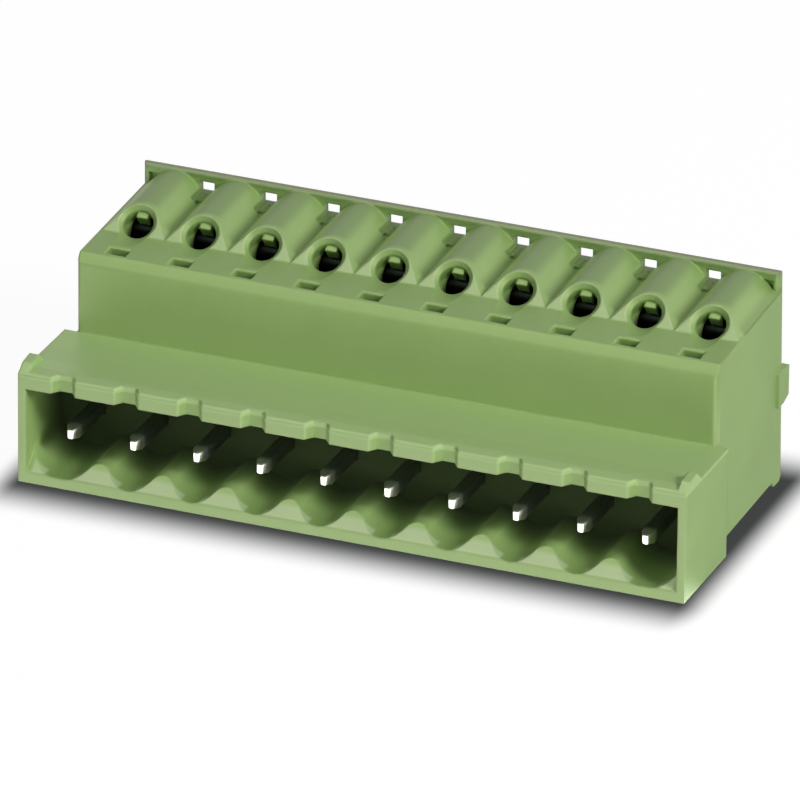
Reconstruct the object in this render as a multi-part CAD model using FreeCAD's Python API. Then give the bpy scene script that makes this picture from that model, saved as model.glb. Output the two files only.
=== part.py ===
import FreeCAD, Part
import math
import os
from FreeCAD import Vector

# Ten-pole pluggable terminal block, pin side to the front, conductor side to the rear.
# Millimetres. X runs along the row, Y from the pin side to the rear, Z up.
# The functions measure Y from the shroud's front face; the export moves the origin
# to the middle of the underside.

# Row
poles = 10
pitch = 5.08

# Pin shroud
shroud_end_margin = 3.62
shroud_depth = 8.7
shroud_height = 8.75
shroud_roof = 1.12
front_edge_rise = 0.15
end_wall = 0.62
cavity_depth = 6.7
front_strip = 0.8

# Lip along the front of the shroud's top, and the higher ears at its ends
lip_peak_y = 1.15
lip_rise = 0.28
lip_run = 3.2
lip_round = 1.0
front_edge_round = 0.3
ear_width = 0.75
ear_rise = 0.8
ear_front_drop = 0.15
ear_top_start = 0.9
ear_top_end = 2.2

# Notches in the shroud's roof, one over each pin
notch_width = 2.0
notch_rear_width = 0.95
notch_depth = 0.7
notch_bevel = 0.1

# Channels in the shroud's floor, one under each pin
channel_radius = 2.2
channel_floor = 0.78
ridge_shoulder = 1.7
ridge_top = 1.95
lead_in_depth = 1.4
lead_in_clearance = 0.05

# Pins and contact strips
pin_size = 1.0
pin_height = 3.9
pin_tip_y = 1.3
pin_taper_length = 0.7
pin_taper = 0.25
strip_thickness = 1.0
leg_width = 2.0
bar_width = 3.2
bar_below_ledge = 1.75
bar_tongue_width = 1.8
bar_tongue_start = 18.2
bar_end = 19.6
contact_clearance = 0.04

# Body
body_front_wall = 1.2
body_end_margin = 2.64
underside_gap = 0.25
underside_rear_gap = 0.5
ledge_height = 15.08
ledge_front_y = 9.3
ledge_slope = 0.045
ledge_edge_round = 0.3
front_band_height = 0.75
front_band_round = 0.5
upright_edge_round = 0.35
rear_top_y = 22.0
rear_bottom_y = 22.7
foot_length = 1.1
foot_ramp = 0.5
foot_corner = 0.3

# Arched tubes behind the ledge
facet_base_y = 13.1
facet_angle = 40.0
flank_angle = 43.5
crest_height = 1.64
tube_roof = 0.6
facet_wall = 0.8

# Driver holes in the facets
hole_diameter = 2.35
hole_slope_distance = 1.1
hole_chamfer = 0.34
tongue_width = 0.9
tongue_drop = 0.5
tongue_start = 0.55

# Test pockets in the ledge, each with a slit down to the contact bar
pocket_length = 1.6
pocket_front_y = 9.65
pocket_rear_y = 10.8
pocket_depth = 0.7
pocket_rim = 0.12
slit_length = 1.1
slit_width = 0.35

# Rim with a window between each two poles, and a blind recess beside each end post
rim_front_y = 21.3
rim_over_crest = 0.19
rim_round = 0.3
window_width = 1.22
window_height = 0.97
window_sill = 0.13
window_core_front_y = 19.5
core_pit_length = 0.6
core_pit_width = 0.7
core_pit_depth = 0.35
end_post_width = 0.45
end_recess_depth = 0.4

# Chambers inside
partition = 1.0
chamber_front_y = 15.6
chamber_margin = 0.65
spring_space_margin = 0.15

# Cage springs
spring_thickness = 0.35
spring_width = 3.0
bow_radius = 0.775
bow_y = 16.6
lower_leg_end = 18.4
window_leg_y = 18.9
bend_cut = 0.5
rung_height = 0.7
rung_gap = 0.1
cage_window_clearance = 0.1
cage_window_headroom = 0.3

# Rear cover
cover_front_y = 20.6
cover_side_wall = 1.0
cover_bottom = 1.4
cover_roof = 0.6
cover_clearance = 0.05
funnel_below_bar = 1.0
funnel_mouth = 4.0
funnel_end = 3.0
funnel_throat_diameter = 2.9
funnel_taper_length = 0.9

# Rib across the rear
rib_below_funnel = 0.18
rib_height = 2.7
rib_projection = 1.15
rib_underside_rise = 0.3
rib_pad_length = 1.0
rib_pad_thickness = 0.2

# Worked out from the sizes above
row_half = pitch * (poles - 1) / 2
shroud_half = row_half + shroud_end_margin
body_half = row_half + body_end_margin
cavity_half = shroud_half - end_wall
ceiling_height = shroud_height - shroud_roof
leg_front_y = shroud_depth + body_front_wall
leg_rear_y = leg_front_y + strip_thickness
bar_top = ledge_height - bar_below_ledge
bar_bottom = bar_top - strip_thickness
funnel_height = bar_bottom - funnel_below_bar
rib_top = funnel_height - funnel_mouth / 2 - rib_below_funnel
rib_bottom = rib_top - rib_height
chamber_half = (pitch - partition) / 2
chamber_floor = funnel_height - funnel_throat_diameter / 2 - chamber_margin
rim_base = ledge_height + ledge_slope * (rim_front_y - ledge_front_y)
rim_top = rim_base + crest_height + rim_over_crest
window_bottom = rim_base + window_sill
window_top = window_bottom + window_height
cover_top = window_bottom - cover_roof
corner_signs = [(-1, -1), (1, -1), (1, 1), (-1, 1)]
past = 1.0


def ledge_z(y):
    return ledge_height + ledge_slope * (y - ledge_front_y)


def rear_y(z):
    return rear_top_y + (rear_bottom_y - rear_top_y) * (rim_top - z) / rim_top


overall_depth = rear_y(rib_top) + rib_projection


def pole_x(index):
    return (index - (poles - 1) / 2) * pitch


def line(start, end):
    return Part.LineSegment(start, end).toShape()


def arc(start, middle, end):
    return Part.Arc(start, middle, end).toShape()


def chain(points):
    """Straight edges through the points, in order."""
    return [line(a, b) for a, b in zip(points, points[1:])]


def face_of(edges):
    """A flat face inside a closed loop of edges given in any order."""
    return Part.Face(Part.Wire(Part.sortEdges(edges)[0]))


def polygon(points):
    """A flat face with straight sides through the points."""
    return Part.Face(Part.makePolygon(points + points[:1]))


def plate_across(outline, x_low, x_high):
    """A solid between two X planes from an outline of (y, z) points."""
    face = polygon([Vector(x_low, y, z) for y, z in outline])
    return face.extrude(Vector(x_high - x_low, 0, 0))


def round_corner(before, corner, after, radius):
    """Start, middle and end of the arc that rounds one corner of an outline."""
    back = (before - corner).normalize()
    onward = (after - corner).normalize()
    half = back.getAngle(onward) / 2
    reach = radius / math.tan(half)
    inward = (back + onward).normalize()
    middle = corner + inward * (radius / math.sin(half) - radius)
    return corner + back * reach, middle, corner + onward * reach


def rounded_plate(outline, x_low, x_high):
    """Like plate_across, from (y, z, radius) points; a radius of 0 leaves the corner sharp."""
    corners = [Vector(x_low, y, z) for y, z, radius in outline]
    ends = []
    edges = []
    for index, corner in enumerate(corners):
        radius = outline[index][2]
        if radius > 0:
            after = corners[(index + 1) % len(corners)]
            start, middle, end = round_corner(corners[index - 1], corner, after, radius)
            edges.append(arc(start, middle, end))
            ends.append((start, end))
        else:
            ends.append((corner, corner))
    for (_, end), (start, _) in zip(ends, ends[1:] + ends[:1]):
        edges.append(line(end, start))
    return face_of(edges).extrude(Vector(x_high - x_low, 0, 0))


def block(x_low, x_high, y_low, y_high, z_low, z_high):
    size = (x_high - x_low, y_high - y_low, z_high - z_low)
    return Part.makeBox(*size, Vector(x_low, y_low, z_low))


def centred(x, half_width, y_low, y_high, z_low, z_high):
    """A block centred on one X."""
    return block(x - half_width, x + half_width, y_low, y_high, z_low, z_high)


def frustum(first, second):
    """A solid with flat sides between two loops of corners."""
    wires = [Part.makePolygon(corners + corners[:1]) for corners in (first, second)]
    return Part.makeLoft(wires, True, True)


def shroud_block():
    outline = [
        (0, 0, 0),
        (0, shroud_height + front_edge_rise, front_edge_round),
        (lip_peak_y, shroud_height + lip_rise, lip_round),
        (lip_run, shroud_height, lip_round),
        (shroud_depth + past, shroud_height, 0),
        (shroud_depth + past, underside_gap, 0),
        (shroud_depth, underside_gap, 0),
        (shroud_depth, 0, 0),
    ]
    shroud = rounded_plate(outline, -shroud_half, shroud_half)
    for side in (-1, 1):
        x_low, x_high = sorted((side * body_half, side * (shroud_half + past)))
        behind = block(x_low, x_high, shroud_depth, shroud_depth + 2 * past, -past, shroud_height + past)
        shroud = shroud.cut(behind)
    return shroud


def ear(side):
    outline = [
        (0, ceiling_height),
        (0, shroud_height),
        (ear_top_start, shroud_height + ear_rise - ear_front_drop),
        (ear_top_end, shroud_height + ear_rise),
        (lip_run, shroud_height),
        (lip_run, ceiling_height),
    ]
    x_low, x_high = sorted((side * shroud_half, side * (shroud_half - ear_width)))
    return plate_across(outline, x_low, x_high)


def channel_side(index, side):
    """Edges from a channel's lowest line to its ridge; an end channel reaches up to the wall."""
    x = pole_x(index)
    centre_z = channel_floor + channel_radius
    at_end = index == (0 if side < 0 else poles - 1)
    rim_z = centre_z if at_end else ridge_shoulder
    rim_x = math.sqrt(channel_radius**2 - (centre_z - rim_z) ** 2)
    shift = cavity_half - row_half - channel_radius if at_end else 0
    foot = Vector(x + side * shift, 0, channel_floor)
    swing = math.asin(rim_x / channel_radius) / 2
    across = side * channel_radius * math.sin(swing)
    middle = Vector(foot.x + across, 0, centre_z - channel_radius * math.cos(swing))
    edges = [arc(foot, middle, Vector(foot.x + side * rim_x, 0, rim_z))]
    if at_end:
        edges.append(line(Vector(x, 0, channel_floor), foot))
    return edges


def ridge(index):
    """Rounded top between one channel and the next."""
    x = pole_x(index) + pitch / 2
    drop = channel_floor + channel_radius - ridge_shoulder
    half = pitch / 2 - math.sqrt(channel_radius**2 - drop**2)
    top = Vector(x, 0, ridge_top)
    return arc(Vector(x - half, 0, ridge_shoulder), top, Vector(x + half, 0, ridge_shoulder))


def shroud_cavity():
    """The space round the pins, with the scalloped floor."""
    wall_foot = channel_floor + channel_radius
    edges = []
    for index in range(poles):
        edges += channel_side(index, -1) + channel_side(index, 1)
    for index in range(poles - 1):
        edges.append(ridge(index))
    edges += chain(
        [
            Vector(cavity_half, 0, wall_foot),
            Vector(cavity_half, 0, ceiling_height),
            Vector(-cavity_half, 0, ceiling_height),
            Vector(-cavity_half, 0, wall_foot),
        ]
    )
    return face_of(edges).extrude(Vector(0, cavity_depth, 0))


def lead_in():
    """Sloping cut that bevels the ridges behind the front strip."""
    outline = [
        (0, front_strip),
        (lead_in_depth, ridge_top + lead_in_clearance),
        (lead_in_depth, ridge_top + past),
        (-past, ridge_top + past),
        (-past, front_strip),
    ]
    return plate_across(outline, -cavity_half, cavity_half)


def notch(index):
    """Notch in the roof's front, narrower to the rear, with bevelled upper edges."""
    x = pole_x(index)
    top = shroud_height + lip_rise + past
    bevel_start = shroud_height + front_edge_rise - notch_bevel
    low = ceiling_height - shroud_roof / 2
    narrowing = (notch_width - notch_rear_width) / notch_depth
    loops = []
    for y in (-past, notch_depth):
        half = (notch_width - narrowing * y) / 2
        wide = half + top - bevel_start
        outline = [(-half, low), (half, low), (half, bevel_start), (wide, top), (-wide, top), (-half, bevel_start)]
        loops.append([Vector(x + across, y, z) for across, z in outline])
    return frustum(*loops)


def body_block():
    rear_foot = rear_y(0)
    ledge_rear_y = rear_y(ledge_z(rear_top_y))
    outline = [
        (shroud_depth, underside_gap, 0),
        (shroud_depth, ledge_height - front_band_height, front_band_round),
        (ledge_front_y, ledge_height, ledge_edge_round),
        (ledge_rear_y, ledge_z(ledge_rear_y), 0),
        (rear_foot, foot_corner, 0),
        (rear_foot - foot_corner, 0, 0),
        (rear_foot - foot_corner - foot_length, 0, 0),
        (rear_foot - foot_corner - foot_length - foot_ramp, underside_rear_gap, 0),
    ]
    return rounded_plate(outline, -body_half, body_half)


def upright_edge_cut(side, front_y, radius, z_low):
    """What rounding an upright front edge at the body's side takes away, from z_low up."""
    x = side * body_half
    lean = radius * (1 - math.sqrt(0.5))
    start = Vector(x - side * radius, front_y, z_low)
    end = Vector(x, front_y + radius, z_low)
    middle = Vector(x - side * lean, front_y + lean, z_low)
    outside = chain(
        [
            end,
            Vector(x + side * past, front_y + radius, z_low),
            Vector(x + side * past, front_y - past, z_low),
            Vector(x - side * radius, front_y - past, z_low),
            start,
        ]
    )
    return face_of([arc(start, middle, end)] + outside).extrude(Vector(0, 0, rim_top))


def crest_meeting():
    """Half width and height of the line where a tube's flank meets its round crest."""
    lean = math.radians(flank_angle)
    radius = (pitch / 2 * math.tan(lean) - crest_height) / (1 / math.cos(lean) - 1)
    meet_x = radius * math.sin(lean)
    return meet_x, (pitch / 2 - meet_x) * math.tan(lean)


def tube(index):
    """One arched tube on the ledge, one pitch wide, up to the back of the rim's recesses."""
    x = pole_x(index)
    meet_x, meet_z = crest_meeting()
    half = pitch / 2
    left_meet = Vector(x - meet_x, 0, meet_z)
    right_meet = Vector(x + meet_x, 0, meet_z)
    edges = chain(
        [
            right_meet,
            Vector(x + half, 0, 0),
            Vector(x + half, 0, -past),
            Vector(x - half, 0, -past),
            Vector(x - half, 0, 0),
            left_meet,
        ]
    )
    edges.append(arc(left_meet, Vector(x, 0, crest_height), right_meet))
    length = rim_front_y + end_recess_depth - facet_base_y
    lying = face_of(edges).extrude(Vector(0, length, 0))
    lying.rotate(Vector(0, 0, 0), Vector(1, 0, 0), math.degrees(math.atan(ledge_slope)))
    lying.translate(Vector(0, facet_base_y, ledge_z(facet_base_y)))
    return lying


def facet_wedge(offset):
    """Everything above the facets' plane, moved inwards by the offset."""
    lean = math.radians(facet_angle)
    y = facet_base_y + offset / math.sin(lean)
    z = ledge_z(facet_base_y)
    rise = crest_height + past
    run = rise / math.tan(lean)
    outline = [(y - run, z - rise), (y + run, z + rise), (y - run, z + rise)]
    return plate_across(outline, -body_half - past, body_half + past)


def above_ledge(shape):
    """The part of a shape that lies above the ledge's plane."""
    y_low = facet_base_y - past
    y_high = rear_top_y + past
    top = rim_top + past
    outline = [(y_low, ledge_z(y_low)), (y_high, ledge_z(y_high)), (y_high, top), (y_low, top)]
    return shape.common(plate_across(outline, -body_half - past, body_half + past))


def tubes():
    row = tube(0).fuse([tube(index) for index in range(1, poles)])
    return row.cut(above_ledge(facet_wedge(0)))


def end_recess(side):
    """Blind recess in the rim's front beside the post at one end."""
    outer = body_half - end_post_width
    x_low, x_high = sorted((side * outer, side * (outer - window_width)))
    rear = rim_front_y + end_recess_depth
    return block(x_low, x_high, rim_front_y - past, rear, window_bottom, window_top)


def rim():
    """Bar across the rear edge with rounded edges; the windows go through under it."""
    outline = [
        (rim_front_y, rim_base - past, 0),
        (rim_front_y, rim_top, rim_round),
        (rear_y(rim_top), rim_top, rim_round),
        (rear_y(cover_top), cover_top, 0),
        (rear_y(cover_top) - past, cover_top - past, 0),
    ]
    bar = rounded_plate(outline, -body_half, body_half)
    cuts = []
    for side in (-1, 1):
        cuts += [end_recess(side), upright_edge_cut(side, rim_front_y, rim_round, rim_base)]
    return bar.cut(cuts)


def window(index):
    """Opening under the rim between two poles, with its open core and a pit at the core's front."""
    x = pole_x(index) + pitch / 2
    half = window_width / 2
    through = centred(x, half, rim_front_y - past, rear_bottom_y, window_bottom, window_top)
    core = centred(x, half, window_core_front_y, rim_front_y, window_bottom, rim_top + past)
    pit_end = window_core_front_y + core_pit_length
    pit_floor = window_bottom - core_pit_depth
    pit = centred(x, core_pit_width / 2, window_core_front_y, pit_end, pit_floor, window_top)
    return through.fuse([core, pit])


def place_on_facet(shape):
    """Moves a shape drawn flat, with Y up the slope and Z outwards, onto the facets' plane."""
    shape.rotate(Vector(0, 0, 0), Vector(1, 0, 0), facet_angle)
    shape.translate(Vector(0, facet_base_y, ledge_z(facet_base_y)))
    return shape


def driver_hole(index):
    """Countersunk hole square to the facet and down to the bar, with a tongue at its top."""
    x = pole_x(index)
    radius = hole_diameter / 2
    wide = radius + hole_chamfer + past
    start = Vector(x, hole_slope_distance, past)
    down = Vector(0, 0, -1)
    depth = facet_wall + (ledge_z(facet_base_y) - bar_top) / math.cos(math.radians(facet_angle))
    shaft = Part.makeCylinder(radius, depth + past, start, down)
    edge = hole_slope_distance + radius
    tongue = centred(x, tongue_width / 2, edge - tongue_drop, edge + past, -depth - past, -tongue_start)
    sink = Part.makeCone(wide, radius, hole_chamfer + past, start, down)
    above_bar = centred(x, wide, leg_front_y, cover_front_y, bar_top, rim_top + past)
    return place_on_facet(shaft.cut(tongue).fuse(sink)).common(above_bar)


def pocket_corners(x, height):
    """Corners of a test pocket's flared rim, at a height above the ledge."""
    flare = height + pocket_rim
    middle_y = (pocket_front_y + pocket_rear_y) / 2
    half_x = pocket_length / 2 + flare
    half_y = (pocket_rear_y - pocket_front_y) / 2 + flare
    corners = []
    for across, along in corner_signs:
        y = middle_y + along * half_y
        corners.append(Vector(x + across * half_x, y, ledge_z(y) + height))
    return corners


def test_pocket(index):
    """Pocket in the ledge that deepens to the rear, and its slit down to the contact bar."""
    x = pole_x(index)
    top = ledge_z(pocket_rear_y)
    outline = [
        (pocket_front_y, ledge_z(pocket_front_y)),
        (pocket_rear_y, top - pocket_depth),
        (pocket_rear_y, top + past),
        (pocket_front_y, top + past),
    ]
    half = pocket_length / 2
    wedge = plate_across(outline, x - half, x + half)
    rim_flare = frustum(pocket_corners(x, -pocket_rim), pocket_corners(x, past))
    slit = centred(x, slit_length / 2, pocket_rear_y - slit_width, pocket_rear_y, bar_top, top)
    return wedge.fuse([rim_flare, slit])


def pin_hole(index):
    half = pin_size / 2 + contact_clearance
    y_low = cavity_depth - past
    return centred(pole_x(index), half, y_low, leg_rear_y, pin_height - half, pin_height + half)


def contact_space(index):
    """Slot for the upright leg, the bar's channel over it and the conductor's chamber."""
    x = pole_x(index)
    leg_half = leg_width / 2 + contact_clearance
    bar_half = bar_width / 2 + contact_clearance
    leg_bottom = pin_height - pin_size / 2 - contact_clearance
    slot = centred(x, leg_half, leg_front_y, cover_front_y, leg_bottom, bar_bottom)
    bar = centred(x, bar_half, leg_front_y, cover_front_y, bar_bottom, bar_top + contact_clearance)
    chamber = centred(x, chamber_half, chamber_front_y, cover_front_y, chamber_floor, bar_bottom)
    return slot.fuse([bar, chamber])


def spring_space(index):
    """Room for the cage spring, under the tube's roof and behind the facet's wall."""
    x = pole_x(index)
    front = bow_y - bow_radius - spring_thickness / 2 - spring_space_margin
    lean = math.radians(flank_angle)
    base = ledge_z(front)
    inset = pitch / 2 - tube_roof / math.sin(lean)
    side_z = base + (inset - chamber_half) * math.tan(lean)
    top_z = base + crest_height - tube_roof
    top_half = inset - (crest_height - tube_roof) / math.tan(lean)
    corners = [
        Vector(x - chamber_half, front, bar_bottom),
        Vector(x + chamber_half, front, bar_bottom),
        Vector(x + chamber_half, front, side_z),
        Vector(x + top_half, front, top_z),
        Vector(x - top_half, front, top_z),
        Vector(x - chamber_half, front, side_z),
    ]
    run = cover_front_y - front
    space = polygon(corners).extrude(Vector(0, run, ledge_slope * run))
    above_floor = centred(x, pitch, front, cover_front_y, bar_bottom, rim_top)
    return space.common(above_floor).cut(facet_wedge(facet_wall))


def cover_pocket():
    """Recess in the rear that takes the cover."""
    half = body_half - cover_side_wall
    return block(-half, half, cover_front_y, rear_bottom_y + past, cover_bottom, cover_top)


def rib_outline(front):
    rear = rear_y(rib_top) + rib_projection
    return [
        (front, rib_top),
        (rear, rib_top),
        (rear, rib_bottom + rib_underside_rise),
        (rear_y(rib_bottom), rib_bottom),
        (front, rib_bottom),
    ]


def rib_end(side):
    """End of the rear rib on the housing's side wall, with a small pad round the corner."""
    inner = side * (body_half - cover_side_wall)
    outer = side * (body_half + rib_pad_thickness)
    x_low, x_high = sorted((inner, outer))
    return plate_across(rib_outline(rear_y(rib_top) - rib_pad_length), x_low, x_high)


def housing():
    """The one-piece green moulding."""
    outer = body_block().fuse([shroud_block(), ear(-1), ear(1), tubes(), rim(), rib_end(-1), rib_end(1)])
    cuts = [shroud_cavity(), lead_in(), cover_pocket()]
    for side in (-1, 1):
        cuts.append(upright_edge_cut(side, shroud_depth, upright_edge_round, shroud_height))
    for index in range(poles):
        cuts += [notch(index), driver_hole(index), test_pocket(index), pin_hole(index)]
        cuts += [contact_space(index), spring_space(index)]
    for index in range(poles - 1):
        cuts.append(window(index))
    return outer.cut(cuts).removeSplitter()


def funnel(index):
    """Square funnel that guides a conductor into a round throat."""
    x = pole_x(index)
    mouth_y = rear_y(funnel_height)
    widening = (funnel_mouth - funnel_end) / funnel_taper_length
    loops = []
    for y in (mouth_y + past, mouth_y - funnel_taper_length):
        half = (funnel_mouth + widening * (y - mouth_y)) / 2
        loops.append([Vector(x + a * half, y, funnel_height + b * half) for a, b in corner_signs])
    start = Vector(x, mouth_y, funnel_height)
    throat = Part.makeCylinder(funnel_throat_diameter / 2, mouth_y - cover_front_y + past, start, Vector(0, -1, 0))
    return frustum(*loops).fuse(throat)


def rear_cover():
    """Cover that closes the rear, with a funnel for each conductor and most of the rib."""
    half = body_half - cover_side_wall - cover_clearance
    low = cover_bottom + cover_clearance
    high = cover_top - cover_clearance
    outline = [(cover_front_y, low), (cover_front_y, high), (rear_y(high), high), (rear_y(low), low)]
    plate = plate_across(outline, -half, half)
    plate = plate.cut([funnel(index) for index in range(poles)])
    return plate.fuse(plate_across(rib_outline(rear_y(rib_top) - past), -half, half)).removeSplitter()


def contact(index):
    """Tinned strip: square pin to the front, upright leg, and a bar to the rear."""
    x = pole_x(index)
    half_pin = pin_size / 2
    tip_half = half_pin - pin_taper
    low, high = pin_height - half_pin, pin_height + half_pin
    shank_start = pin_tip_y + pin_taper_length
    shank = centred(x, half_pin, shank_start, leg_front_y, low, high)
    root = [Vector(x + a * half_pin, shank_start, pin_height + b * half_pin) for a, b in corner_signs]
    tip = [Vector(x + a * tip_half, pin_tip_y, pin_height + b * tip_half) for a, b in corner_signs]
    leg = centred(x, leg_width / 2, leg_front_y, leg_rear_y, low, bar_top)
    bar = centred(x, bar_width / 2, leg_front_y, bar_tongue_start, bar_bottom, bar_top)
    tongue = centred(x, bar_tongue_width / 2, bar_tongue_start, bar_end, bar_bottom, bar_top)
    return shank.fuse([frustum(root, tip), leg, bar, tongue]).removeSplitter()


def spring_side(offset, x):
    """Edges along one face of the spring strip, from the lower leg's end to the rung."""
    centre_z = bar_top + spring_thickness / 2 + bow_radius
    bow = bow_radius + offset
    low_z = centre_z - bow
    high_z = centre_z + bow
    leg_y = window_leg_y + offset
    corner_cut = bend_cut + offset * (2 - math.sqrt(2))
    foot = bar_bottom - rung_gap - rung_height
    start_of_bow = Vector(x, bow_y, low_z)
    end_of_bow = Vector(x, bow_y, high_z)
    edges = [line(Vector(x, lower_leg_end, low_z), start_of_bow)]
    edges.append(arc(start_of_bow, Vector(x, bow_y - bow, centre_z), end_of_bow))
    before_bend = Vector(x, leg_y - corner_cut, high_z)
    after_bend = Vector(x, leg_y, high_z - corner_cut)
    return edges + chain([end_of_bow, before_bend, after_bend, Vector(x, leg_y, foot)])


def spring(index):
    """Steel cage spring: leg on the bar, bow, top run, and a leg whose window holds the bar."""
    x = pole_x(index)
    left = x - spring_width / 2
    outer = spring_side(spring_thickness / 2, left)
    inner = spring_side(-spring_thickness / 2, left)
    caps = []
    for at in (0, -1):
        ends = [edges[at].Vertexes[at].Point for edges in (outer, inner)]
        caps.append(line(*ends))
    strip = face_of(outer + inner + caps).extrude(Vector(spring_width, 0, 0))
    half_window = bar_tongue_width / 2 + cage_window_clearance
    y_low, y_high = window_leg_y - spring_thickness, window_leg_y + spring_thickness
    cage = centred(x, half_window, y_low, y_high, bar_bottom - rung_gap, bar_top + cage_window_headroom)
    return strip.cut(cage)


def export(name, shape):
    placed = shape.copy()
    placed.translate(Vector(0, -overall_depth / 2, 0))
    placed.exportStep("parts/" + name + ".step")
    print(name, "solids", len(placed.Solids), "valid", placed.isValid(), "volume", round(placed.Volume, 2))


def main():
    os.makedirs("parts", exist_ok=True)
    export("housing", housing())
    export("rear_cover", rear_cover())
    for index in range(poles):
        export(f"contact_{index + 1:02d}", contact(index))
        export(f"spring_{index + 1:02d}", spring(index))


main()
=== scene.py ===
# %% [markdown]
# # A ten-pole pluggable terminal block
# The block is one green moulding with a row of tinned pins in front, a spring clamp inside each pole,
# and a cover with wire funnels at the back. The solids arrive from the frame at their real size.
# This lesson gives every surface its finish, models the ten contact strips by hand, sets the block on
# white paper, and lights it softly.

# %% Load the frame
import math

import bmesh
import bpy
from mathutils import Matrix, Vector


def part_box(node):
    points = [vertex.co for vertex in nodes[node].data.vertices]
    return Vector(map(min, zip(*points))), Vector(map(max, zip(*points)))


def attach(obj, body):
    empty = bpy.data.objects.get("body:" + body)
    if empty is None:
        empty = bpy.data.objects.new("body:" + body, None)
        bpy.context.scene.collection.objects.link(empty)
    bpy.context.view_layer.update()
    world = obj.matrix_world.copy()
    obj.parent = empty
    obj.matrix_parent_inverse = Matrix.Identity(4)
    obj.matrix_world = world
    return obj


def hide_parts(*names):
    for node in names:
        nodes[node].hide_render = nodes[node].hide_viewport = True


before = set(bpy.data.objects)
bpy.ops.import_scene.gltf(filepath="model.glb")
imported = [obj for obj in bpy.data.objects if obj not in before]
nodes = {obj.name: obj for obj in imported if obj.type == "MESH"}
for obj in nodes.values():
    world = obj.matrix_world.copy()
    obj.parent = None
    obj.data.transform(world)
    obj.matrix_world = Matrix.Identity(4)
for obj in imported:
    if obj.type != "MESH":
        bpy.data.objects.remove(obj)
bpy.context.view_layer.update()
mm = 0.001

# %% [markdown]
# ## Where things are
# The finishes follow the block's own places: the mouth of the pin shroud, the ledge, the hidden
# chambers. All of them could be typed in as numbers. The boxes of the solids give the front face, the
# cover and the poles instead, so that these stay true, and only what no box tells is a number.

# %% Measure the block
front_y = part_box("housing")[0].y
cover_low, cover_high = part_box("rear_cover")
strip_low, strip_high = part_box("contact_01")
contact_names = sorted(name for name in nodes if name.startswith("contact_"))
pole_places = [(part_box(name)[0].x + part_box(name)[1].x) / 2 for name in contact_names]
pitch = (pole_places[-1] - pole_places[0]) / (len(pole_places) - 1)
print("poles:", len(pole_places), "pitch:", round(pitch / mm, 3), "mm")


# %% [markdown]
# ## Shader maths as expressions
# A node tree could be built one node and one link at a time, but as text that is long and hard to
# read. Two small classes stand in for it. `Value` wraps one socket, and the signs of arithmetic add
# Math nodes to it. `Finish` is one material, and its `node` method adds any other node: its type, then
# its settings, then what goes into its sockets.

# %% A socket for expressions
class Value:
    """One socket of a shader. An operator on it adds the Math node of the same meaning."""

    def __init__(self, finish, socket):
        self.finish = finish
        self.socket = socket

    def maths(self, operation, *others):
        """The result of one Math node on this value and the others."""
        made = self.finish.node("ShaderNodeMath", {"operation": operation})
        for port, value in zip(made.inputs, (self, *others)):
            self.finish.plug(port, value)
        return Value(self.finish, made.outputs[0])

    def __add__(self, other):
        return self.maths("ADD", other)

    def __sub__(self, other):
        return self.maths("SUBTRACT", other)

    def __mul__(self, other):
        return self.maths("MULTIPLY", other)

    def __pow__(self, other):
        return self.maths("POWER", other)

    def __rsub__(self, other):
        return (self * -1.0) + other

    __radd__ = __add__
    __rmul__ = __mul__

    def size(self):
        return self.maths("ABSOLUTE")

    def at_least(self, other):
        return self.maths("MAXIMUM", other)

    def at_most(self, other):
        return self.maths("MINIMUM", other)

    def rise(self, start, end):
        """0 below start, 1 above end, and smooth between them."""
        made = self.finish.node(
            "ShaderNodeMapRange",
            {"interpolation_type": "SMOOTHSTEP"},
            {"Value": self, "From Min": start, "From Max": end},
        )
        return Value(self.finish, made.outputs["Result"])

    def fall(self, start, end):
        """1 below start, 0 above end, and smooth between them."""
        return 1 - self.rise(start, end)

    def band(self, foot, full, fading, end):
        """0 below foot, 1 from full to fading, and 0 again above end."""
        return self.rise(foot, full) * self.fall(fading, end)


# %% A material and its nodes
corner_samples = 6
edge_turns = (0.82, 0.995)


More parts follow.
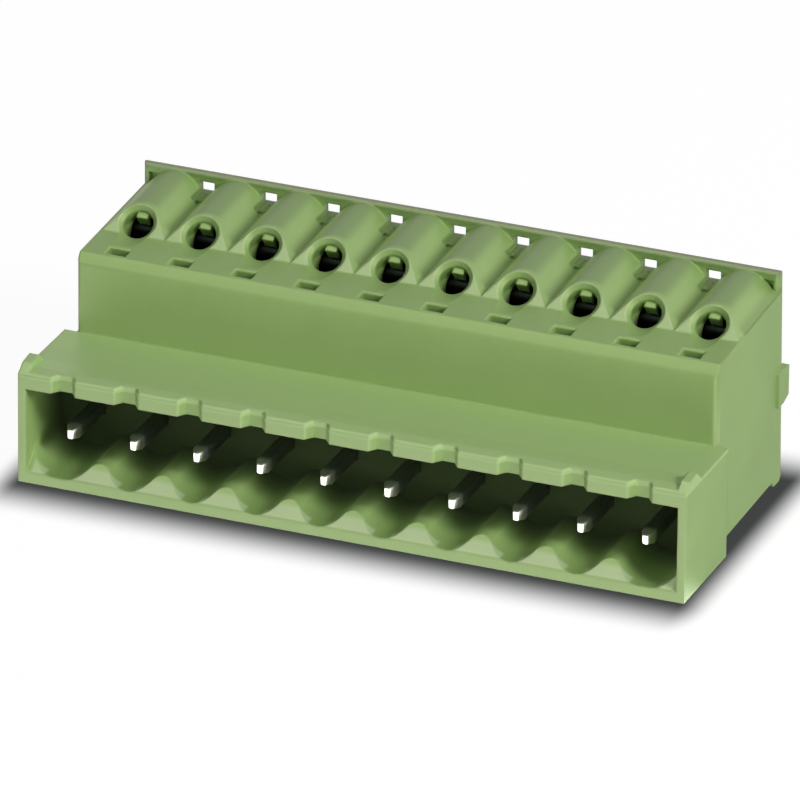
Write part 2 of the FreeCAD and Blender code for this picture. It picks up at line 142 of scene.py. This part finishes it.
class Finish:
    """One material with a Principled shader, and a short way to add nodes to it."""

    def __init__(self, name):
        self.material = bpy.data.materials.new(name)
        self.material.use_nodes = True
        self.tree = self.material.node_tree
        self.shader = self.tree.nodes["Principled BSDF"]
        self.output = self.tree.nodes["Material Output"]

    def plug(self, port, value):
        """A value or a link into a socket."""
        if isinstance(value, Value):
            self.tree.links.new(value.socket, port)
        elif isinstance(value, bpy.types.NodeSocket):
            self.tree.links.new(value, port)
        else:
            port.default_value = value

    def node(self, kind, settings=None, sockets=None):
        """Any node. A socket is called by its name, or by its number where names repeat."""
        made = self.tree.nodes.new(kind)
        for key, value in (settings or {}).items():
            setattr(made, key, value)
        by_name = {port.identifier: port for port in made.inputs}
        by_name.update({port.name: port for port in reversed(made.inputs) if port.enabled})
        for key, value in (sockets or {}).items():
            self.plug(made.inputs[key] if isinstance(key, int) else by_name[key], value)
        return made

    def place(self, axis):
        """Where the point lies along X, Y or Z, in metres."""
        point = self.node("ShaderNodeTexCoord").outputs["Object"]
        split = self.node("ShaderNodeSeparateXYZ", {}, {"Vector": point})
        return Value(self, split.outputs[axis])

    def noise(self, waves, detail=2.0, roughness=0.5):
        """Noise with so many waves to the metre, from 0 to 1."""
        point = self.node("ShaderNodeTexCoord").outputs["Object"]
        sockets = {"Vector": point, "Scale": waves, "Detail": detail, "Roughness": roughness}
        return Value(self, self.node("ShaderNodeTexNoise", {}, sockets).outputs[0])

    def lines(self, axis, waves):
        """Noise that changes along one axis only, which draws fine lines across it."""
        sockets = {"W": self.place(axis), "Scale": waves}
        made = self.node("ShaderNodeTexNoise", {"noise_dimensions": "1D"}, sockets)
        return Value(self, made.outputs[0])

    def mix(self, mask, first, second):
        """The first colour where the mask is 0 and the second where it is 1."""
        sockets = {"Factor_Float": mask, "A_Color": first, "B_Color": second}
        return self.node("ShaderNodeMix", {"data_type": "RGBA"}, sockets).outputs["Result"]

    def blend(self, mask, first, second):
        """The first shader where the mask is 0 and the second where it is 1."""
        sockets = {0: mask, 1: first.outputs[0], 2: second.outputs[0]}
        return self.node("ShaderNodeMixShader", {}, sockets)

    def soft_edge(self, radius):
        """The surface's direction as if its sharp edges were rounded by the radius."""
        made = self.node("ShaderNodeBevel", {"samples": corner_samples}, {"Radius": radius})
        return made.outputs[0]

    def edge_mask(self, soft):
        """About 1 on the arrises and 0 on the flats, from how far the soft edge turns the surface."""
        plain = self.node("ShaderNodeNewGeometry").outputs["Normal"]
        made = self.node("ShaderNodeVectorMath", {"operation": "DOT_PRODUCT"}, {0: soft, 1: plain})
        return Value(self, made.outputs["Value"]).fall(*edge_turns)

    def grain(self, waves, strength, relief, soft):
        """A fine grain on top of the soft edges."""
        waviness = self.noise(waves, detail=3.0, roughness=0.6)
        sockets = {"Strength": strength, "Distance": relief, "Height": waviness, "Normal": soft}
        return self.node("ShaderNodeBump", {}, sockets).outputs[0]

    def set(self, **constants):
        """Constants for the Principled shader, called by its sockets' names in small letters."""
        for name, value in constants.items():
            label = name.replace("_", " ").title().replace("Ior", "IOR")
            self.shader.inputs[label].default_value = value

    def link(self, name, value):
        """What changes over the surface, into a socket of the Principled shader."""
        self.plug(self.shader.inputs[name], value)


# %% Colours
def to_light(level):
    """One screen level, 0 to 255, as an amount of light."""
    share = level / 255
    return ((share + 0.055) / 1.055) ** 2.4 if share > 0.04 else share / 12.92


def colour(red, green, blue, shift=0):
    """A colour given as a screen shows it, with all three of its levels moved by the shift."""
    return (*(to_light(level + shift) for level in (red, green, blue)), 1.0)


def grey(level):
    """A grey given as an amount of light, which is 1 for white."""
    return (level, level, level, 1.0)


print("light of screen level 128:", round(to_light(128), 3))


# %% [markdown]
# ## The dark depths
# Little light comes back out of the pin shroud and out of the chambers behind the driver holes,
# because it has to bounce off green plastic many times. The lamps could be left to make that shade,
# but a picture follows only a few bounces, and it should look right under other lamps too. A mask by
# place deepens the plastic instead: 0 on the outside, 1 deep inside. Each mask is made of bands, whose
# four places, in millimetres, are where it begins, is full, begins to fade and ends. Two places are
# one end of a band.

# %% Places on the block
ledge_depth = 9.3 * mm
ledge_height = 15.08 * mm
ledge_slope = 0.045
cover_depth = cover_low.y - front_y


def in_mm(*places):
    """Places given in millimetres, turned into metres."""
    return [place * mm for place in places]


def aside(finish):
    """Distance to either side of the block's middle."""
    return finish.place("X").size()


def depth(finish):
    """Distance behind the block's front face."""
    return finish.place("Y") - front_y


def height(finish):
    """Height above the block's underside."""
    return finish.place("Z")


def above_ledge(finish):
    """Height above the sloping plane in which the ledge lies."""
    return height(finish) - ledge_height - (depth(finish) - ledge_depth) * ledge_slope


print("the cover starts", round(cover_depth / mm, 2), "mm behind the front face")


# %% Masks for the depths
def mouth_mask(finish):
    """The inside of the pin shroud, darker with depth."""
    depths = in_mm(2.0, 6.7, 7.6, 7.7)
    heights = in_mm(0.5, 0.6, 8.1, 8.2)
    sides = in_mm(26.1, 26.2)
    return depth(finish).band(*depths) * height(finish).band(*heights) * aside(finish).fall(*sides)


def chamber_mask(finish):
    """The chambers under the ledge's plane, darker with distance from it."""
    levels = in_mm(-1.3, -0.1)
    start = in_mm(9.4, 9.6)
    end = [cover_depth + place for place in in_mm(1.2, 1.5)]
    sides = in_mm(25.1, 25.2)
    inside = depth(finish).band(*start, *end) * aside(finish).fall(*sides)
    return above_ledge(finish).fall(*levels) * inside


# %% [markdown]
# ## Painted light and shade
# Light and shade are painted into the housing's green at some places. The shroud's front and top, the
# inside of its mouth, the ends of its ridges, the foot of the body and the facets round the driver
# holes are painted paler, as painted light. The tubes' crests and the rim are painted darker, as painted
# shade, and the valleys between the tubes hold a painted shadow. These places could be painted by hand
# on an unwrapped surface. Masks by place need no picture and stay sharp close up, so each place has
# one, and the housing's finish, further down, gives it its own painted green.

# %% Masks of painted light on the pin shroud
def painted_front_light_mask(finish):
    """The shroud's front face and the bevels next to it, painted paler as painted light."""
    return depth(finish).fall(*in_mm(0.03, 0.3))


def painted_mouth_light_mask(finish):
    """The inside of the shroud near its mouth, painted paler as painted light."""
    depths = in_mm(0.03, 0.1, 2.0, 5.0)
    heights = in_mm(0.0, 2.4, 7.5, 7.6)
    sides = in_mm(25.8, 26.0)
    return depth(finish).band(*depths) * height(finish).band(*heights) * aside(finish).fall(*sides)


def painted_ridge_highlight_mask(finish):
    """The bevelled ends of the ridges between the round channels, with a painted highlight."""
    depths = in_mm(0.7, 1.2)
    heights = in_mm(0.85, 0.95, 3.3, 3.7)
    sides = in_mm(25.3, 25.7)
    strongest = 0.9
    ridges = height(finish).band(*heights) * aside(finish).fall(*sides)
    return depth(finish).fall(*depths) * ridges * strongest


def painted_shroud_top_light_mask(finish):
    """The top of the shroud, in front of the body, painted paler as painted light."""
    depths = in_mm(8.6, 8.7)
    heights = in_mm(8.45, 8.65, 9.6, 9.8)
    return depth(finish).fall(*depths) * height(finish).band(*heights)


def painted_body_foot_light_mask(finish):
    """The lower part of the body's front, just above the shroud, painted paler as painted light."""
    depths = in_mm(8.55, 8.65, 9.4, 9.5)
    heights = in_mm(8.7, 8.8, 9.2, 13.6)
    return depth(finish).band(*depths) * height(finish).band(*heights)


# %% Masks of painted light and shade on the tubes
def painted_facet_light_mask(finish):
    """The inclined flat round each driver hole, painted paler as painted light."""
    start = 13.1 * mm
    slope = math.tan(math.radians(40))
    nearness = in_mm(0.1, 0.16)
    levels = in_mm(0.02, 0.1, 1.6, 1.7)
    above = above_ledge(finish)
    climb = (depth(finish) - start) * slope
    return (above - climb).size().fall(*nearness) * above.band(*levels)


def painted_crest_shade_mask(finish):
    """The upper part of the arched tubes, behind their facets, painted darker as painted shade."""
    depths = in_mm(15.2, 15.8)
    levels = in_mm(1.15, 1.6)
    return above_ledge(finish).rise(*levels) * depth(finish).rise(*depths)


def painted_valley_shadow_mask(finish):
    """The narrow valleys between the tubes, darkened by a painted shadow of the next tube."""
    depths = in_mm(14.0, 14.8)
    levels = in_mm(-0.1, -0.03, 0.15, 0.8)
    return above_ledge(finish).band(*levels) * depth(finish).rise(*depths)


def painted_rim_shade_mask(finish):
    """The top of the rim, which stands a little higher than the tubes, painted darker as painted shade."""
    return above_ledge(finish).rise(*in_mm(1.62, 1.8))


# %% [markdown]
# ## The green plastic
# The moulding is glass-filled polyamide: a dull olive green with a soft satin shine. Its colour drifts
# a little over a few millimetres, fine specks of filler show close up, and the tool's spark-eroded
# surface breaks the shine. The arrises are slightly rounded, with a painted highlight that makes them
# paler. Rounding them in the mesh would change the exact solid and need very many faces, so a Bevel
# node rounds them in the shading.

# %% Plastic finish
drift_waves, speck_waves, grain_waves = 180.0, 9000.0, 6000.0
noise_middle = 0.5
most_of_noise = (0.3, 0.7)
peaks_of_noise = (0.62, 0.75)
drift_shift, speck_shift, edge_highlight_shift = 4, 12, 24
speck_share, edge_highlight_share, painted_depth_shade_share = 0.3, 0.15, 0.95
painted_depth_shade_green = (32, 48, 21)
arris_radius = 0.22 * mm
grain_relief = 0.02 * mm
grain_strength = 0.2
plain_roughness, deep_roughness = 0.5, 0.4
speck_roughness, drift_roughness = 0.16, 0.1
shine = 0.75
shine_tint = (1.0, 1.0, 0.72, 1.0)


def plastic(name, tint, painted_depth_shade_masks, painted_tones=()):
    """Satin plastic of one tint, with painted shade in its depths, and painted light and shade where its
    tone masks say.
    """
    finish = Finish(name)
    drift = finish.noise(drift_waves, detail=3.0, roughness=0.55)
    specks = finish.noise(speck_waves, detail=2.0, roughness=0.6)
    darker, paler = colour(*tint, shift=-drift_shift), colour(*tint, shift=drift_shift)
    base = finish.mix(drift.rise(*most_of_noise), darker, paler)
    speckled = specks.rise(*peaks_of_noise) * speck_share
    base = finish.mix(speckled, base, colour(*tint, shift=speck_shift))
    soft = finish.soft_edge(arris_radius)
    # Paler arrises: a painted highlight along the rounded edges.
    base = finish.mix(finish.edge_mask(soft) * edge_highlight_share, base, colour(*tint, shift=edge_highlight_shift))
    for mask, tone in painted_tones:
        base = finish.mix(mask(finish), base, colour(*tone))
    dull = plain_roughness + (specks - noise_middle) * speck_roughness
    dull = dull + (drift - noise_middle) * drift_roughness
    for mask in painted_depth_shade_masks:
        # The depths get a painted shade: darker green where the mask is 1.
        deep = mask(finish)
        base = finish.mix(deep * painted_depth_shade_share, base, colour(*painted_depth_shade_green))
        dull = dull + deep * deep_roughness
    finish.link("Base Color", base)
    finish.link("Roughness", dull.at_most(1.0))
    finish.link("Normal", finish.grain(grain_waves, grain_strength, grain_relief, soft))
    finish.set(specular_ior_level=shine, specular_tint=shine_tint)
    return finish.material


# %% The housing's finish
housing_tint = (138, 169, 98)
# Paler tones are painted light, darker ones painted shade, and the valleys' tone a painted shadow.
housing_painted_light_and_shade = (
    (painted_front_light_mask, (159, 187, 123)),
    (painted_mouth_light_mask, (166, 197, 122)),
    (painted_body_foot_light_mask, (158, 184, 120)),
    (painted_crest_shade_mask, (118, 145, 87)),
    (painted_valley_shadow_mask, (108, 136, 70)),
    (painted_facet_light_mask, (166, 190, 134)),
    (painted_rim_shade_mask, (106, 117, 86)),
    (painted_shroud_top_light_mask, (172, 202, 135)),
    (painted_ridge_highlight_mask, (196, 216, 166)),
)
green = plastic("green_polyamide", housing_tint, (mouth_mask, chamber_mask), housing_painted_light_and_shade)
print("nodes in the housing's finish:", len(green.node_tree.nodes))

# %% [markdown]
# ## The rear cover
# The cover is a second moulding of the same plastic from another tool, so its green differs a little.
# It could share the housing's material, but then the two would look like one piece. The same function
# makes it with another tint, and with one mask of painted shade for the funnels, which lead into the dark
# chambers.

# %% Cover finish
cover_tint = (134, 165, 96)


def funnel_mask(finish):
    """The funnels for the conductors, painted darker as shade with distance from the rear face."""
    lip = 1.15 * mm
    heights = in_mm(8.9, 9.0, 13.8, 13.9)
    from_rear = cover_high.y - lip - finish.place("Y")
    return from_rear.rise(*in_mm(0.3, 2.0)) * height(finish).band(*heights)


cover_green = plastic("cover_polyamide", cover_tint, (funnel_mask,))
print("nodes in the cover's finish:", len(cover_green.node_tree.nodes))

# %% [markdown]
# ## Tin and spring steel
# The strips are copper alloy under bright tin, which is pale, slightly warm, and cloudy. In the shroud
# a pin's shaft mirrors dark green plastic, and a plain mirror in a bright room would miss that, so the
# tin is painted darker behind the tip, as a painted reflection of the dark plastic, and painted darker
# once more inside the housing, as painted shade. The springs are rolled stainless steel in the dark of
# the chambers, and their steel is painted nearly black, as painted shade. Their faint rolling lines
# could be a picture, but noise that changes along one axis draws them too, and stays sharp at any size.

# %% Tin finish
tin_clouds = ((206, 204, 196), (230, 229, 224))
painted_shaft_reflection = (92, 100, 86)
painted_hidden_shade = (24, 26, 22)
cloud_waves = 700.0
painted_shaft_reflection_share, painted_hidden_shade_share = 0.95, 0.9
tin_roughness, cloud_roughness = 0.34, 0.1
shaft_polish = 0.04
shaft_dullness = 0.25


def tin(name):
    """Cloudy tin, bright at the pin's tip, with a painted dark reflection along its shaft and painted shade
    inside.
    """
    finish = Finish(name)
    clouds = finish.noise(cloud_waves)
    from_tip = finish.place("Y") - strip_low.y
    shaft = from_tip.rise(*in_mm(0.5, 1.4))
    hidden = from_tip.rise(*in_mm(6.0, 9.0))
    dim, bright = (colour(*levels) for levels in tin_clouds)
    base = finish.mix(clouds.rise(*most_of_noise), dim, bright)
    # Painted reflection of the dark plastic along the shaft, and painted shade inside the housing.
    base = finish.mix(shaft * painted_shaft_reflection_share, base, colour(*painted_shaft_reflection))
    base = finish.mix(hidden * painted_hidden_shade_share, base, colour(*painted_hidden_shade))
    cloudy = (clouds - noise_middle) * cloud_roughness
    finish.link("Base Color", base)
    finish.link("Roughness", tin_roughness + cloudy - shaft * shaft_polish)
    finish.link("Metallic", 1 - shaft * shaft_dullness)
    return finish.material


tinned = tin("tinned_strip")
print("nodes in the tin:", len(tinned.node_tree.nodes))

# %% Spring steel finish
# The steel's nearly black levels are painted shade of the dark chambers.
painted_dark_steel_lines = ((14, 17, 14), (24, 27, 23))
line_waves = 9000.0
steel_roughness, line_roughness = 0.38, 0.2


def spring_finish(name):
    """Steel painted dark as painted shade, with rolling lines, which run along the strip that a spring is
    bent from.
    """
    finish = Finish(name)
    lines = finish.lines("X", line_waves)
    dark, pale = (colour(*levels) for levels in painted_dark_steel_lines)
    finish.link("Base Color", finish.mix(lines.rise(*most_of_noise), dark, pale))
    finish.link("Roughness", steel_roughness + (lines - noise_middle) * line_roughness)
    finish.set(metallic=1.0)
    return finish.material


steel = spring_finish("rolled_spring_steel")
print("nodes in the steel:", len(steel.node_tree.nodes))


# %% Give the pieces their finishes
def give(piece, material):
    piece.data.materials.clear()
    piece.data.materials.append(material)


give(nodes["housing"], green)
give(nodes["rear_cover"], cover_green)
for name in nodes:
    if name.startswith("contact_"):
        give(nodes[name], tinned)
    if name.startswith("spring_"):
        give(nodes[name], steel)
print("pieces with a finish:", sum(len(piece.data.materials) for piece in nodes.values()))

# %% [markdown]
# ## A contact strip
# Each strip is stamped and formed: a square pin in front, an upright leg inside the housing, and a wide
# bar under the spring. Stamping leaves slightly rounded edges, and the pin's end is coined to a narrow
# tip, taller than it is wide. It could be traced as one outline, but pulling it out of a block face by
# face shows the editing tools better, and gives clean flat faces.

# %% Editing helpers
def edit(piece):
    """Opens one piece in edit mode, with faces to select."""
    bpy.ops.object.select_all(action="DESELECT")
    bpy.context.view_layer.objects.active = piece
    piece.select_set(True)
    bpy.ops.object.mode_set(mode="EDIT")
    bpy.ops.mesh.select_mode(type="FACE")


def pick(piece, wanted):
    """Selects the faces for which wanted(middle, normal) is true."""
    shape = bmesh.from_edit_mesh(piece.data)
    bpy.ops.mesh.select_all(action="DESELECT")
    for face in shape.faces:
        face.select_set(wanted(face.calc_center_median(), face.normal))
    bmesh.update_edit_mesh(piece.data)


def slice_at(point, direction):
    """Cuts all faces along a plane and keeps both sides."""
    bpy.ops.mesh.select_all(action="SELECT")
    bpy.ops.mesh.bisect(plane_co=point, plane_no=direction)


def pull(offset):
    """Pulls the selected faces out of the mesh."""
    bpy.ops.mesh.extrude_region_move(TRANSFORM_OT_translate={"value": offset})


# %% The strip's sizes
pin = 1.0 * mm
thickness = 1.0 * mm
leg_half = 1.0 * mm
tongue_half = 0.9 * mm
tongue_length = 1.4 * mm
tip_length = 0.7 * mm
tip_width, tip_height = 0.42 * mm, 0.72 * mm
pin_length = 8.6 * mm
pin_top = strip_low.z + pin
pin_middle = strip_low.z + pin / 2
leg_front = strip_low.y + pin_length
leg_rear = leg_front + thickness
strip_middle = (strip_low.x + strip_high.x) / 2
bar_half = (strip_high.x - strip_low.x) / 2
bar_bottom = strip_high.z - thickness
bar_rear = strip_high.y - tongue_length
print("bar in mm:", round(2 * bar_half / mm, 2), "wide,", round((bar_rear - leg_rear) / mm, 2), "long")

# %% The upright leg, as a cut block
bpy.ops.object.select_all(action="DESELECT")
leg_low = Vector((strip_middle - leg_half, leg_front, strip_low.z))
leg_high = Vector((strip_middle + leg_half, leg_rear, strip_high.z))
bpy.ops.mesh.primitive_cube_add(size=1, location=(leg_low + leg_high) / 2)
strip = bpy.context.object
strip.name = "strip_01"
strip.scale = leg_high - leg_low
bpy.ops.object.transform_apply(location=True, rotation=False, scale=True)
edit(strip)
slice_at((0, 0, pin_top), (0, 0, 1))
slice_at((0, 0, bar_bottom), (0, 0, 1))
for offset in (-tongue_half, -pin / 2, pin / 2, tongue_half):
    slice_at((strip_middle + offset, 0, 0), (1, 0, 0))

# %% Pull out the pin, the bar and the tongue
facing = 0.9
hair = 0.01 * mm


def within(at, half):
    """True where a face's middle lies nearer to the strip's middle than half a width."""
    return abs(at.x - strip_middle) < half


pick(strip, lambda at, way: way.y < -facing and at.z < pin_top and within(at, pin / 2))
pull((0, strip_low.y + tip_length - leg_front, 0))
pull((0, -tip_length, 0))
bpy.ops.transform.resize(
    value=(tip_width / pin, 1, tip_height / pin), center_override=(strip_middle, strip_low.y, pin_middle)
)
for side in (-1, 1):
    pick(strip, lambda at, way: way.x * side > facing and at.z > bar_bottom and at.y > leg_front)
    pull((side * (bar_half - leg_half), 0, 0))
pick(strip, lambda at, way: way.y > facing and at.z > bar_bottom)
pull((0, bar_rear - leg_rear, 0))
pick(strip, lambda at, way: way.y > facing and at.y > bar_rear - hair and within(at, tongue_half))
pull((0, tongue_length, 0))
bpy.ops.mesh.select_all(action="SELECT")
bpy.ops.mesh.dissolve_limited(angle_limit=math.radians(1))
bpy.ops.mesh.normals_make_consistent(inside=False)
bpy.ops.object.mode_set(mode="OBJECT")
print("strip faces:", len(strip.data.polygons), "size in mm:", [round(v / mm, 2) for v in strip.dimensions])

# %% [markdown]
# ## Rounded edges, and a copy for every pole
# A stamped edge is never sharp, and the thin highlight along it is what makes the strip look real. The
# edges could be bevelled one by one in edit mode. A modifier rounds every sharp one by the same small
# radius, and it is applied, so that each copy is a plain mesh of its own.

# %% Round the edges
edge_radius = 0.11 * mm
rounding = strip.modifiers.new("rounding", "BEVEL")
rounding.width = edge_radius
rounding.segments = 2
rounding.limit_method = "ANGLE"
rounding.angle_limit = math.radians(25)
bpy.ops.object.modifier_apply(modifier=rounding.name)
bpy.ops.object.shade_smooth_by_angle(angle=math.radians(35))
give(strip, tinned)
print("faces of the rounded strip:", len(strip.data.polygons))

# %% Copy the strip to every pole
strips = [strip]
for index in range(1, len(pole_places)):
    twin = strip.copy()
    twin.data = strip.data.copy()
    twin.data.transform(Matrix.Translation((index * pitch, 0, 0)))
    twin.name = f"strip_{index + 1:02d}"
    bpy.context.scene.collection.objects.link(twin)
    strips.append(twin)
for piece, name in zip(strips, contact_names):
    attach(piece, "root")
    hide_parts(name)
print("strips:", len(strips))

# %% [markdown]
# ## Floor and backdrop
# The block lies on white paper that fills the picture. Right beside the block a deep soft shadow is
# painted on the paper, which clears within a few millimetres. More lamps could make the paper white, but
# they would also wash out the block. So the paper glows, for the camera and for reflections only, and puts
# no light on the block. Reflections see it painted brighter in front of the block, a painted light which
# lights its edges.

# %% Distance from the block
shade_half_width = 26.2 * mm
shade_rear = -front_y - 1.0 * mm
painted_shadow_reach = 5.8 * mm
side_tightness = 2.1


def distance_from(finish, low_y, high_y, half_width):
    """Distance on the floor from a rectangle under the block, tighter at its sides."""
    across = (finish.place("X").size() - half_width).at_least(0.0) * side_tightness
    middle, half_depth = (low_y + high_y) / 2, (high_y - low_y) / 2
    along = ((finish.place("Y") - middle).size() - half_depth).at_least(0.0)
    return (across * across + along * along) ** 0.5


# %% Paper
white = grey(1.0)
painted_shadow_grey = (64, 66, 66)
paper_level = 0.55
paper_roughness = 0.9
glow_level = 0.95
shaded_level, open_level = 0.01, 0.12
mirrored_level, painted_reflection_in_front = 0.8, 4.4
bright_front = 5.0 * mm

paper = Finish("white_paper")
paper.set(roughness=paper_roughness, base_color=grey(paper_level))
# A painted shadow: the paper is painted darker near the block, in its glow and in its diffuse part.
clear = distance_from(paper, front_y, shade_rear, shade_half_width).rise(0.0, painted_shadow_reach)
shade = paper.mix(clear, colour(*painted_shadow_grey), white)
glow = paper.node("ShaderNodeEmission", {}, {"Color": shade, "Strength": glow_level})
shaded, unshaded = (
    paper.node("ShaderNodeBsdfDiffuse", {}, {"Color": grey(level)}) for level in (shaded_level, open_level)
)
pale = paper.blend(clear, shaded, unshaded)
seen = paper.node("ShaderNodeAddShader", {}, {0: glow.outputs[0], 1: pale.outputs[0]})
# A painted light: reflections see the paper brighter in front of the block.
in_front = paper.place("Y").fall(front_y, front_y + bright_front)
panel = paper.mix(in_front, grey(mirrored_level), grey(painted_reflection_in_front))
mirrored = paper.node("ShaderNodeEmission", {}, {"Color": panel, "Strength": 1.0})

rays = paper.node("ShaderNodeLightPath")
reflected = Value(paper, rays.outputs["Is Glossy Ray"]).at_least(rays.outputs["Is Transmission Ray"])
lit = paper.blend(rays.outputs["Is Camera Ray"], paper.shader, seen)
chosen = paper.blend(reflected, lit, mirrored)
paper.plug(paper.output.inputs["Surface"], chosen.outputs[0])
print("nodes in the paper:", len(paper.tree.nodes))

# %% Floor
floor_size = 4.0
bpy.ops.object.select_all(action="DESELECT")
bpy.ops.mesh.primitive_plane_add(size=floor_size, location=(0, 0, 0))
floor = bpy.context.object
floor.name = "floor"
give(floor, paper.material)
print("floor:", floor_size, "m square")

# %% [markdown]
# ## Light
# A small soft lamp stands at the front right and gives the block its shape. One big lamp from above
# would be simpler, but would flatten the tubes. The surroundings are white to the camera and weak as
# light on the block, and they hold brighter panels above, at the right and at the back, which only
# reflections see. The levels are set so that a colour comes out about as it is written.

# %% Key lamp
def direction(azimuth, elevation):
    """The way to look from the block: turned from the front to the right, and lifted, in degrees."""
    turn, lift = math.radians(azimuth), math.radians(elevation)
    return Vector((math.sin(turn) * math.cos(lift), -math.cos(turn) * math.cos(lift), math.sin(lift)))


def lamp(name, size, power, azimuth, elevation, distance):
    """A square lamp that faces the block. Sizes are in metres and its power in watts."""
    light = bpy.data.lights.new(name, "AREA")
    light.shape = "SQUARE"
    light.size = size
    light.energy = power
    holder = bpy.data.objects.new(name, light)
    bpy.context.scene.collection.objects.link(holder)
    away = direction(azimuth, elevation)
    holder.location = away * distance
    holder.rotation_mode = "QUATERNION"
    holder.rotation_quaternion = away.to_track_quat("Z", "Y")
    print(name, "at", [round(v, 3) for v in holder.location])


lamp("key_lamp", size=0.2, power=3.5, azimuth=68, elevation=30.5, distance=0.8)

# %% Surroundings
ambient = 0.09
room_level = 0.8
softbox_level, side_level, back_level = 4.2, 1.9, 0.3


class Surroundings(Finish):
    """The same short way to add nodes, for the world."""

    def __init__(self, world):
        self.tree = world.node_tree

    def panel(self, toward, fade):
        """1 where a ray looks towards the panel, and 0 well away from it."""
        look = self.node("ShaderNodeTexCoord").outputs["Generated"]
        made = self.node("ShaderNodeVectorMath", {"operation": "DOT_PRODUCT"}, {0: look, 1: toward})
        return Value(self, made.outputs["Value"]).rise(*fade)


world = bpy.data.worlds.new("pale_surroundings")
world.use_nodes = True
bpy.context.scene.world = world
studio = Surroundings(world)
sky = world.node_tree.nodes["Background"]
sky.inputs["Color"].default_value = white
softbox = studio.panel(toward=(0.0, -0.35, 0.85), fade=(0.5, 0.85))
side_panel = studio.panel(toward=(0.8, 0.3, 0.0), fade=(0.3, 0.8))
back_panel = studio.panel(toward=(0.0, 0.9, 0.2), fade=(0.5, 0.85))
room = room_level + softbox * softbox_level + side_panel * side_level + back_panel * back_level
rays = studio.node("ShaderNodeLightPath")
diffuse = Value(studio, rays.outputs["Is Diffuse Ray"])
glossy = Value(studio, rays.outputs["Is Glossy Ray"])
strength = 1 + diffuse * (ambient - 1) + glossy * (room - 1)
studio.plug(sky.inputs["Strength"], strength)
print("nodes in the surroundings:", len(studio.tree.nodes))

# %% [markdown]
# ## Camera
# The picture was taken with a long lens from the front right, a little above the block, with the
# camera turned slightly about its own axis. A constraint could aim the camera but not turn it so. Three
# directions and a place, worked out from the angles, give all of it at once.

# %% Camera
camera_azimuth = 21.860
camera_elevation = 24.916
camera_roll = 0.629
camera_distance = 0.895
lens_pixels = 12120.6
picture_pixels = 800
aim_from_front = Vector((0.000815, 0.008, 0.008250))

lens = bpy.data.cameras.new("camera")
lens.sensor_width = 36.0
lens.lens = lens_pixels * lens.sensor_width / picture_pixels
lens.clip_start = 0.01
lens.clip_end = 50.0
camera = bpy.data.objects.new("camera", lens)
bpy.context.scene.collection.objects.link(camera)

turn, roll = math.radians(camera_azimuth), math.radians(camera_roll)
back = direction(camera_azimuth, camera_elevation)
right = Vector((math.cos(turn), math.sin(turn), 0))
up = back.cross(right)
rolled_right = right * math.cos(roll) + up * math.sin(roll)
rolled_up = up * math.cos(roll) - right * math.sin(roll)
place = Vector((0, front_y, 0)) + aim_from_front + back * camera_distance
columns = (rolled_right, rolled_up, back, place)
rows = [[column[row] for column in columns] for row in range(3)]
camera.matrix_world = Matrix([*rows, [0, 0, 0, 1]])
bpy.context.scene.camera = camera
bpy.context.scene.view_settings.view_transform = "Standard"
print("lens:", round(lens.lens, 1), "mm at", camera_distance, "m")
